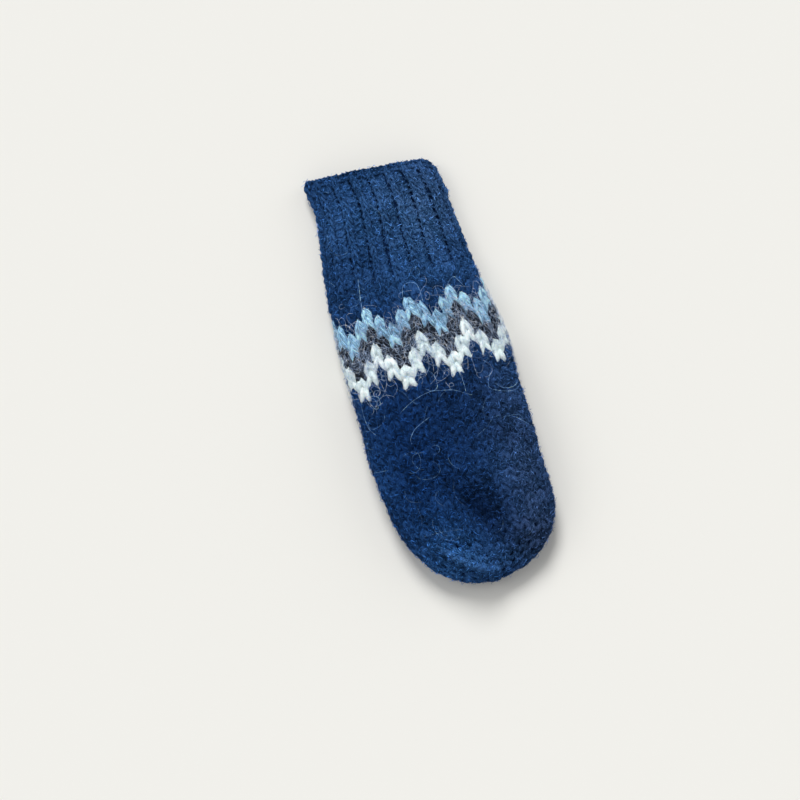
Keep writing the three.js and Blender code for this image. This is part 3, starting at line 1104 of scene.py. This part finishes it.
def yarn_wool(kind):
    """Fuzzy wool: fibres run along the yarn with a slight twist, over a mottled colour."""
    name = kind + "_wool_yarn"
    if name in bpy.data.materials:
        return bpy.data.materials[name]
    colour = tuple(getattr(bpy.context.scene.mitten_wool, kind))
    pale, dark, streak, bump, sheen, with_painted_light = WOOLS[kind]
    light = shade(colour, *pale)
    material, graph, shader = new_material(name)
    material.diffuse_color = (*colour, 1.0)

    yarn = graph.split(graph.add("ShaderNodeUVMap", uv_map="yarn").outputs[0])
    # The tone varies at random, and on the cuff it carries painted light and shade
    tone = graph.painted("tone", "Fac")
    place = graph.add("ShaderNodeTexCoord").outputs["Object"]
    twisted = graph.total(yarn[1], graph.product(yarn[0], 1.3))
    fibre_place = graph.join(
        graph.product(yarn[0], 7.0), graph.product(twisted, 15.0), graph.product(tone, 40.0)
    )
    fibres = graph.noise(fibre_place, 1.0, 3.0, 0.65)
    felt = graph.noise(place, 800.0, 3.0, 0.6, 1.6)
    curls = graph.noise(place, 330.0, 2.0, 0.6, 2.5)
    mottle = graph.noise(place, 55.0, 3.0, 0.6)
    edge = graph.math("ABSOLUTE", graph.minus(curls, 0.5))
    span = {"From Min": 0.0, "From Max": 0.035, "To Min": 1.0, "To Max": 0.0}
    line = graph.add("ShaderNodeMapRange", {"Value": edge, **span}).outputs[0]

    mix = graph.total(
        graph.product(fibres, streak),
        graph.product(felt, 1 - streak),
        graph.product(graph.minus(mottle, 0.5), 0.2),
        graph.product(graph.minus(tone, 0.5), 0.1),
    )
    ramp = graph.ramp(mix, (0.43, shade(colour, *dark)), (0.5, colour), (0.6, light))
    tinted = graph.add(
        "ShaderNodeMix", {0: graph.product(line, 0.4), 6: ramp, 7: (*light, 1.0)}, data_type="RGBA"
    )
    paint = tinted.outputs[2]
    # Painted light and shade: the colour is multiplied by the gains painted on the back
    if with_painted_light:
        paint = graph.vector("MULTIPLY", paint, graph.painted("wear"))
    height = graph.total(graph.product(fibres, 0.55), graph.product(felt, 0.6), graph.product(line, 0.18))
    relief = graph.add("ShaderNodeBump", {"Strength": bump, "Distance": 0.0014, "Height": height})
    graph.set(shader, {
        "Base Color": paint,
        "Normal": relief.outputs[0],
        "Roughness": 0.92,
        "Specular IOR Level": 0.02,
        "Sheen Weight": 0.12,
        "Sheen Roughness": 0.5,
        "Sheen Tint": (*sheen, 1.0),
    })
    return material


def fibre_wool(name, colour, with_painted_light=False):
    """Loose fibres: one colour, a little uneven along the mitten."""
    material, graph, shader = new_material(name)
    patch = graph.noise(graph.add("ShaderNodeTexCoord").outputs["Object"], 420.0, 2.0)
    paint = graph.ramp(patch, (0.38, shade(colour, 0.5)), (0.52, colour), (0.68, shade(colour, 2.4)))
    # Painted light and shade, where the fibres lie on the navy
    if with_painted_light:
        paint = graph.vector("MULTIPLY", paint, graph.painted("wear"))
    graph.set(shader, {"Base Color": paint, "Roughness": 0.7, "Specular IOR Level": 0.05})
    return material


def lining_wool():
    """The wool seen between the loops and inside the mitten."""
    colour = tuple(bpy.context.scene.mitten_wool.navy)
    material, graph, shader = new_material("navy_wool_inside")
    place = graph.add("ShaderNodeTexCoord").outputs["Object"]
    felt = graph.noise(place, 700.0, 4.0, 0.7, 1.2)
    lumps = graph.noise(place, 170.0, 2.0)
    height = graph.total(felt, lumps)
    relief = graph.add("ShaderNodeBump", {"Strength": 0.8, "Distance": 0.001, "Height": height})
    graph.set(shader, {
        "Base Color": graph.ramp(felt, (0.35, shade(colour, 0.5)), (0.7, shade(colour, 1.4))),
        "Normal": relief.outputs[0],
        "Roughness": 0.95,
        "Specular IOR Level": 0.1,
    })
    return material


# Loose fibres

def fibre_template(name, bends, length, radius):
    """A short fibre with three sides that tapers to both ends."""
    points = np.array(bends, dtype=float) * length
    vertices = [points[0]]
    inner = points[1:-1]
    for index, point in enumerate(inner):
        tangent = points[index + 2] - points[index]
        tangent /= np.linalg.norm(tangent)
        side = np.cross(tangent, (0.0, 0.0, 1.0))
        side /= np.linalg.norm(side)
        lift = np.cross(side, tangent)
        for corner in range(3):
            angle = 2 * math.pi * corner / 3
            vertices.append(point + radius * (math.cos(angle) * side + math.sin(angle) * lift))
    vertices.append(points[-1])
    last = len(vertices) - 1
    faces = []
    for corner in range(3):
        after = (corner + 1) % 3
        faces.append((0, 1 + corner, 1 + after))
        for ring in range(len(inner) - 1):
            base = 1 + 3 * ring
            faces.append((base + corner, base + 3 + corner, base + 3 + after, base + after))
        base = 1 + 3 * (len(inner) - 1)
        faces.append((base + corner, last, base + after))
    obj = add_object(name, vertices, faces)
    work = bmesh.new()
    work.from_mesh(obj.data)
    bmesh.ops.recalc_face_normals(work, faces=work.faces)
    work.to_mesh(obj.data)
    work.free()
    smooth_faces(obj.data)
    return obj


FIBRE_BENDS = (
    ((-0.5, 0.0, -0.08), (-0.2, 0.12, 0.07), (0.15, 0.02, 0.12), (0.5, -0.18, 0.02)),
    ((-0.4, 0.1, -0.06), (-0.1, -0.14, 0.1), (0.2, 0.1, 0.16), (0.42, 0.3, 0.2)),
    ((-0.3, 0.0, -0.05), (0.0, 0.2, 0.1), (0.26, 0.05, 0.2), (0.12, -0.2, 0.24)),
    ((-0.5, -0.1, -0.06), (-0.18, 0.05, 0.05), (0.18, 0.1, 0.05), (0.5, -0.04, -0.05)),
)


def fibre_tree():
    """Scatters fibres over the outer side of the yarn."""
    shapes = [f"Fibre {index + 1}" for index in range(len(FIBRE_BENDS))]
    sockets = {name: "Object" for name in shapes}
    sockets.update({"Density": "Float", "Seed": "Int", "Wool": "Material"})
    graph, given = geometry_tree("Loose fibres", sockets)
    seed = given["Seed"]
    normal = graph.add("GeometryNodeInputNormal").outputs[0]
    facing = graph.add(
        "ShaderNodeVectorMath", {0: normal, 1: graph.attribute("outward")}, operation="DOT_PRODUCT"
    ).outputs["Value"]
    weight = graph.math("MULTIPLY", graph.minus(facing, 0.1), 1.6, clamp=True)
    scatter = graph.add(
        "GeometryNodeDistributePointsOnFaces",
        {"Mesh": given["Geometry"], "Density": graph.product(weight, given["Density"]), "Seed": seed},
        distribute_method="RANDOM",
    )
    gather = graph.add("GeometryNodeGeometryToInstance")
    for name in reversed(shapes):
        shape = graph.add("GeometryNodeObjectInfo", {"Object": given[name]})
        graph.tree.links.new(shape.outputs["Geometry"], gather.inputs[0])
    lowest, highest = (-0.35, -0.35, 0.0), (0.35, 0.35, 2 * math.pi)
    spin = graph.add(
        "FunctionNodeRandomValue", {"Seed": seed, 0: lowest, 1: highest}, data_type="FLOAT_VECTOR"
    )
    turned = graph.add(
        "FunctionNodeRotateRotation",
        {"Rotation": scatter.outputs["Rotation"], 1: spin.outputs[0]},
        rotation_space="LOCAL",
    )
    grow = graph.add(
        "FunctionNodeRandomValue", {2: 0.55, 3: 1.35, "Seed": graph.total(seed, 5.0)}, data_type="FLOAT"
    )
    pick = graph.add(
        "FunctionNodeRandomValue",
        {4: 0, 5: len(shapes) - 1, "Seed": graph.total(seed, 11.0)},
        data_type="INT",
    )
    sown = graph.add(
        "GeometryNodeInstanceOnPoints",
        {
            "Points": scatter.outputs["Points"],
            "Instance": gather.outputs[0],
            "Pick Instance": True,
            "Instance Index": pick.outputs[2],
            "Rotation": turned.outputs[0],
            "Scale": grow.outputs[1],
        },
    )
    close_tree(graph, sown.outputs["Instances"], given["Wool"])
    return graph.tree


# Long stray hairs that catch the light on the back, as points across and along it in millimetres
LAID_HAIRS = (
    ((-4, 45), (-4, 53), (-2, 58), (2, 59), (6, 57), (7, 52), (7, 45), (7, 38)),
    ((-26, -18), (-23, -16), (-17, -13), (-11, -11), (-4, -10), (2, -11), (10, -13), (15, -16), (20, -19)),
    ((-9, 5), (-5, 5), (-1, 2), (1, -2), (1, -8), (-2, -10), (-6, -8), (-8, -5)),
    ((-36, -10), (-36, -5), (-39, -3), (-43, -2), (-47, -5), (-48, -10), (-48, -16), (-47, -22), (-44, -27)),
    ((-45, -4), (-40, -4), (-38, -7), (-38, -11), (-40, -11), (-42, -6), (-41, -1), (-39, 0)),
    ((35, -9), (32, -14), (32, -18), (37, -21), (43, -23), (48, -23), (50, -21)),
    ((36, -16), (40, -20), (46, -21), (50, -19)),
    ((43, -40), (45, -42), (48, -45), (51, -48)),
    ((-9, -25), (-14, -27), (-20, -30), (-24, -35), (-24, -38)),
    ((-47, 46), (-46, 43), (-42, 39), (-41, 36), (-44, 35), (-47, 38)),
    ((23, 48), (26, 53), (30, 55), (32, 52), (35, 47)),
    ((14, 9), (15, 2), (17, -8), (17, -16)),
    ((-21, 12), (-19, 5), (-12, 2), (-4, 2), (0, 5)),
    ((-28, 70), (-30, 57), (-31, 48)),
)


def through(points, step):
    """A smooth line through points, cut to even steps."""
    points = np.array(points, dtype=float)
    ends = np.vstack([2 * points[0] - points[1], points, 2 * points[-1] - points[-2]])
    line = []
    for index in range(len(points) - 1):
        a, b, c, d = ends[index:index + 4]
        count = max(2, int(np.linalg.norm(c - b) / step))
        bend = 2 * a - 5 * b + 4 * c - d
        twist = 3 * b - a - 3 * c + d
        for t in np.arange(count) / count:
            line.append(0.5 * (2 * b + (c - a) * t + bend * t**2 + twist * t**3))
    line.append(points[-1])
    return np.array(line)


def laid_hairs(knitted):
    """The chosen hairs, resting on the stitches of the back and arching between them."""
    lines = []
    for index, points in enumerate(LAID_HAIRS):
        flat = through(points, 1.0) / 1000
        heights = np.array([height_over(knitted, x, y) for x, y in flat])
        heights = np.maximum(heights, smooth(heights[:, None], 2.0, 0, False)[:, 0])
        arch = np.sin(np.linspace(0, math.pi, len(flat)))
        swell = 0.0003 * (1 + np.sin(np.arange(len(flat)) * 0.45 + index))
        lines.append(np.column_stack([flat, heights + 0.0001 + (0.0004 + swell) * arch]))
    return lines


def curly_hairs(surface, count, random, row_middle, row_spread, curl, steps_range):
    """Hairs that wander over the wool, rooted in rows round a middle one."""
    lines = []
    while len(lines) < count:
        row = random.normal(row_middle, row_spread)
        if not 0 < row < made["rows"] - 2:
            continue
        share = random.uniform(-0.5, 0.5)
        heading = random.uniform(0, 2 * math.pi)
        steps = int(random.uniform(*steps_range))
        turn = random.normal(0, curl)
        wobble = random.uniform(0.1, 0.5)
        phase = random.uniform(0, 2 * math.pi)
        rows = []
        shares = []
        for step in range(steps):
            heading += turn + 2.0 * curl * wobble * math.sin(step * wobble + phase)
            row += 0.0008 * math.sin(heading) / HAND_ROW
            share += 0.0008 * math.cos(heading) / GIRTH
            rows.append(min(max(row, -0.5), made["rows"] - 0.5))
            shares.append(share)
        points, normals = surface.at(np.array(rows), np.array(shares))
        arch = np.sin(np.linspace(0.1, 0.92, steps) * math.pi)
        lift = 0.0018 + (0.0008 + 0.0016 * random.random()) * arch
        line = points + lift[:, None] * normals
        line[:, 2] = np.maximum(line[:, 2], 0.0003)
        lines.append(line)
    return lines


def hair_tree():
    """Turns lines into thin three-sided hairs."""
    graph, given = geometry_tree("Stray hairs", {"Hair radius": "Float", "Wool": "Material"})
    line = graph.add("GeometryNodeMeshToCurve", {"Mesh": given["Geometry"]})
    ring = graph.add("GeometryNodeCurvePrimitiveCircle", {"Resolution": 3, "Radius": given["Hair radius"]})
    tube = graph.add(
        "GeometryNodeCurveToMesh",
        {"Curve": line.outputs["Curve"], "Profile Curve": ring.outputs["Curve"], "Fill Caps": True},
    )
    close_tree(graph, tube.outputs["Mesh"], given["Wool"])
    return graph.tree


def sow_fibres(name, knit_names, colour, share, seed, with_painted_light=False):
    """Fibres for some of the knitted pieces, joined into one piece."""
    settings = bpy.context.scene.mitten_fuzz
    values = {f"Fibre {index + 1}": shape for index, shape in enumerate(made["fibres"])}
    values["Density"] = settings.density * share
    values["Seed"] = settings.seed + seed
    values["Wool"] = fibre_wool(name + "_wool", colour, with_painted_light)
    parts = [run_tree(bpy.data.objects[knit], made["fibre_tree"], values, name) for knit in knit_names]
    piece = parts[0]
    for part in parts:
        for vertex in part.data.vertices:
            vertex.co.z = max(vertex.co.z, CLEARANCE)
    if len(parts) > 1:
        with bpy.context.temp_override(
            active_object=piece, selected_editable_objects=parts, selected_objects=parts, object=piece
        ):
            bpy.ops.object.join()
    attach(piece, "root")


def knit_nodes(context, *nodes):
    """Knits the pieces of some of the mitten's nodes and gives the last one."""
    settings = context.scene.mitten_knit
    prepare(settings)
    for node in nodes:
        knitted = knit_piece(node, mitten_stitches(settings)[node], made["guide"], made["rows"])
    return knitted


# Operators, one for each piece or group of like pieces

class KnitCuff(bpy.types.Operator):
    """Knit the ribbed cuff from its cast-on edge"""

    bl_idname = "mitten.knit_cuff"
    bl_label = "Knit the cuff"

    def execute(self, context):
        knit_nodes(context, "ribbed_cuff")
        return {"FINISHED"}


class KnitWrist(bpy.types.Operator):
    """Knit the plain navy rows between the cuff and the band"""

    bl_idname = "mitten.knit_wrist"
    bl_label = "Knit the wrist"

    def execute(self, context):
        knit_nodes(context, "wrist")
        return {"FINISHED"}


class KnitBand(bpy.types.Operator):
    """Knit the three zigzags of the band"""

    bl_idname = "mitten.knit_band"
    bl_label = "Knit the band"

    def execute(self, context):
        knit_nodes(context, "light_blue_zigzag", "charcoal_zigzag", "white_zigzag")
        return {"FINISHED"}


class KnitHand(bpy.types.Operator):
    """Knit the hand and its rounded tip"""

    bl_idname = "mitten.knit_hand"
    bl_label = "Knit the hand"

    def execute(self, context):
        tip = knit_nodes(context, "hand", "fingertip")
        twist_ridge(mesh_tree([tip.data]))
        return {"FINISHED"}


class KnitThumb(bpy.types.Operator):
    """Knit the thumb, folded under the palm"""

    bl_idname = "mitten.knit_thumb"
    bl_label = "Knit the thumb"

    def execute(self, context):
        settings = context.scene.mitten_knit
        prepare(settings)
        surface = made["thumb_surface"]
        stitches = []
        for row in range(made["thumb_rows"]):
            count = min(stitches_in(row, surface, settings, 0.0067), 16)
            for column in range(count):
                stitches.append(stitch(row, column, count, settings, made["random"]))
        stitches = leave_out_hole(stitches, surface)
        knit_piece("thumb", stitches, made["thumb_guide"], made["thumb_rows"])
        return {"FINISHED"}


class LineWalls(bpy.types.Operator):
    """Close the gaps between the loops with a thin sheet in the middle of the wall"""

    bl_idname = "mitten.line_walls"
    bl_label = "Line the walls"

    def execute(self, context):
        prepare(context.scene.mitten_knit)
        wool = lining_wool()
        self.line("hand_inside", made["surface"], -0.1, made["rows"], False, wool)
        self.line("thumb_inside", made["thumb_surface"], 0.0, made["thumb_rows"], True, wool)
        return {"FINISHED"}

    def line(self, name, surface, first, rows, closed, wool):
        columns = 128
        row_list = np.linspace(first, rows, int((rows - first) * 1.5) + 1)
        shares = np.arange(columns) / columns
        row_grid, share_grid = np.meshgrid(row_list, shares, indexing="ij")
        points, normals = surface.at(row_grid, share_grid)
        sunk = np.clip((CUFF_ROWS - row_grid) / 2, 0, 1) * (0.0 if closed else 0.0009)
        points = points - sunk[..., None] * normals
        points[..., 2] = np.maximum(points[..., 2], 0.0012)
        work = bmesh.new()
        rings = [[work.verts.new(point) for point in ring] for ring in points]
        for ring, below in zip(rings, rings[1:]):
            for column in range(columns):
                after = (column + 1) % columns
                work.faces.new((ring[column], ring[after], below[after], below[column]))
        bmesh.ops.remove_doubles(work, verts=work.verts, dist=0.00002)
        bmesh.ops.recalc_face_normals(work, faces=work.faces)
        towards_hole = 1 if closed else -1
        holes = [
            face for face in work.faces
            if towards_hole * face.normal.z > 0.4 and hole_share(face.calc_center_median()) < 0.95
        ]
        bmesh.ops.delete(work, geom=holes, context="FACES")
        mesh = bpy.data.meshes.new(name)
        work.to_mesh(mesh)
        work.free()
        rough = new_object(name + "_sheet", mesh)
        wall = rough.modifiers.new("Wall", "SOLIDIFY")
        wall.thickness = 0.0008
        wall.offset = 0.0
        piece = new_object(name, plain_mesh(rough))
        remove(rough)
        smooth_faces(piece.data)
        piece.data.materials.clear()
        piece.data.materials.append(wool)
        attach(piece, "root")


class SowFibres(bpy.types.Operator):
    """Scatter short loose fibres over the wool"""

    bl_idname = "mitten.sow_fibres"
    bl_label = "Sow the fibres"

    def execute(self, context):
        wool = context.scene.mitten_wool
        made["fibres"] = [
            fibre_template(f"fibre_{index + 1}", bends, 0.0046, context.scene.mitten_fuzz.radius)
            for index, bends in enumerate(FIBRE_BENDS)
        ]
        made["fibre_tree"] = fibre_tree()
        navy = shade(tuple(wool.navy), 3.6, 0.02)
        # The navy fibres take the painted light and shade too
        sow_fibres("cuff_fibres", ["ribbed_cuff_knit", "wrist_knit"], navy, 0.6, 1, True)
        sow_fibres("hand_fibres", ["hand_knit"], navy, 1.0, 2, True)
        sow_fibres("fingertip_fibres", ["fingertip_knit", "closing_ridge"], navy, 0.8, 8, True)
        sow_fibres("thumb_fibres", ["thumb_knit"], navy, 0.5, 3, True)
        pale_blue = shade(tuple(wool.light_blue), 1.5, 0.5)
        sow_fibres("light_blue_fibres", ["light_blue_knit"], pale_blue, 0.6, 4)
        grey = shade(tuple(wool.charcoal), 1.5, 0.3)
        sow_fibres("charcoal_fibres", ["charcoal_knit"], grey, 0.8, 5)
        sow_fibres("white_fibres", ["white_knit"], shade(tuple(wool.white), 1.1), 0.5, 6)
        return {"FINISHED"}


class LayHairs(bpy.types.Operator):
    """Lay long pale stray hairs over the wool"""

    bl_idname = "mitten.lay_hairs"
    bl_label = "Lay the hairs"

    def execute(self, context):
        settings = context.scene.mitten_fuzz
        wool = context.scene.mitten_wool
        knitted = mesh_tree(obj.data for obj in bpy.data.objects if obj.name.endswith("_knit"))
        random = np.random.default_rng(settings.seed + 40)
        surface = made["surface"]
        radius = settings.hair_radius
        colour = tuple(wool.hair)
        made["hair_tree"] = hair_tree()
        self.lay("laid_hairs", laid_hairs(knitted), radius, colour)
        lines = curly_hairs(surface, settings.hairs, random, 28, 14, 0.11, (10, 34))
        self.lay("stray_hairs", lines, 0.6 * radius, shade(colour, 0.5))
        lines = curly_hairs(surface, settings.band_hairs, random, 22.2, 1.8, 0.3, (9, 26))
        self.lay("band_hairs", lines, 0.68 * radius, tuple(wool.band_hair))
        return {"FINISHED"}

    def lay(self, name, lines, radius, colour):
        edges = []
        first = 0
        for line in lines:
            edges.extend((first + index, first + index + 1) for index in range(len(line) - 1))
            first += len(line)
        source = add_object(name + "_lines", np.vstack(lines), [], edges)
        values = {"Hair radius": radius, "Wool": fibre_wool(name + "_wool", colour)}
        piece = run_tree(source, made["hair_tree"], values, name)
        remove(source)
        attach(piece, "root")


class SetStage(bpy.types.Operator):
    """Set the floor, the soft light and the camera"""

    bl_idname = "mitten.set_stage"
    bl_label = "Set the stage"

    def execute(self, context):
        scene = context.scene
        settings = scene.mitten_stage
        reach = 3.0
        corners = [(-reach, -reach, 0), (reach, -reach, 0), (reach, reach, 0), (-reach, reach, 0)]
        floor = add_object("floor", corners, [(0, 1, 2, 3)])
        paper, graph, shader = new_material("pale_floor")
        colour = (0.852, 0.842, 0.797, 1.0)
        graph.set(shader, {"Base Color": colour, "Roughness": 0.9, "Specular IOR Level": 0.0})
        floor.data.materials.append(paper)

        scene.world = bpy.data.worlds.new("soft_room")
        scene.world.use_nodes = True
        background = scene.world.node_tree.nodes["Background"]
        background.inputs[0].default_value = (0.97, 0.98, 1.0, 1.0)
        background.inputs[1].default_value = 0.36

        turn = settings.turn
        right = Vector((math.cos(turn), -math.sin(turn), 0))
        up = Vector((math.sin(turn), math.cos(turn), 0))
        self.add_sun("window", -0.2 * right + 0.8 * up + Vector((0, 0, 0.72)), 22, 2.4)
        self.add_sun("second_window", -0.8 * right + 0.3 * up + Vector((0, 0, 0.8)), 40, 0.6)
        self.add_sun("far_wall", 0.8 * right + 0.5 * up + Vector((0, 0, 0.5)), 40, 0.35)

        camera = new_object("camera", bpy.data.cameras.new("camera"))
        camera.data.lens = settings.lens
        camera.data.sensor_width = 36.0
        camera.data.clip_start = 0.05
        camera.data.clip_end = 20.0
        camera.location = (settings.aim_x, settings.aim_y, settings.camera_height)
        camera.rotation_euler = (0, 0, -turn)
        scene.camera = camera
        scene.view_settings.view_transform = "Standard"
        return {"FINISHED"}

    def add_sun(self, name, towards, width, strength):
        """A soft light from a direction, whose disc is some degrees wide."""
        lamp = new_object(name, bpy.data.lights.new(name, "SUN"))
        lamp.data.angle = math.radians(width)
        lamp.data.energy = strength
        lamp.rotation_euler = (-towards).to_track_quat("-Z", "Y").to_euler()


class MittenPanel(bpy.types.Panel):
    """Sizes, colours and pieces of the mitten"""

    bl_idname = "VIEW3D_PT_mitten"
    bl_label = "Knitted mitten"
    bl_space_type = "VIEW_3D"
    bl_region_type = "UI"
    bl_category = "Mitten"

    def draw(self, context):
        for key in GROUPS:
            group = getattr(context.scene, key)
            box = self.layout.box()
            for name in group.__annotations__:
                box.prop(group, name)
        for operator in OPERATORS:
            self.layout.operator(operator.bl_idname)


GROUPS = {
    "mitten_knit": MittenKnit,
    "mitten_wool": MittenWool,
    "mitten_fuzz": MittenFuzz,
    "mitten_stage": MittenStage,
}
OPERATORS = (
    KnitCuff,
    KnitWrist,
    KnitBand,
    KnitHand,
    KnitThumb,
    LineWalls,
    SowFibres,
    LayHairs,
    SetStage,
)
CLASSES = (*GROUPS.values(), *OPERATORS, MittenPanel)


def register():
    for item in CLASSES:
        bpy.utils.register_class(item)
    for name, group in GROUPS.items():
        setattr(bpy.types.Scene, name, PointerProperty(type=group))


def unregister():
    for name in GROUPS:
        delattr(bpy.types.Scene, name)
    for item in reversed(CLASSES):
        bpy.utils.unregister_class(item)


def main():
    register()
    bpy.ops.mitten.knit_cuff()
    bpy.ops.mitten.knit_wrist()
    bpy.ops.mitten.knit_band()
    bpy.ops.mitten.knit_hand()
    bpy.ops.mitten.knit_thumb()
    bpy.ops.mitten.line_walls()
    bpy.ops.mitten.sow_fibres()
    bpy.ops.mitten.lay_hairs()
    bpy.ops.mitten.set_stage()
    remove(made["guide"], made["thumb_guide"], made["loop"], *made["fibres"])


if __name__ == "__main__":
    main()
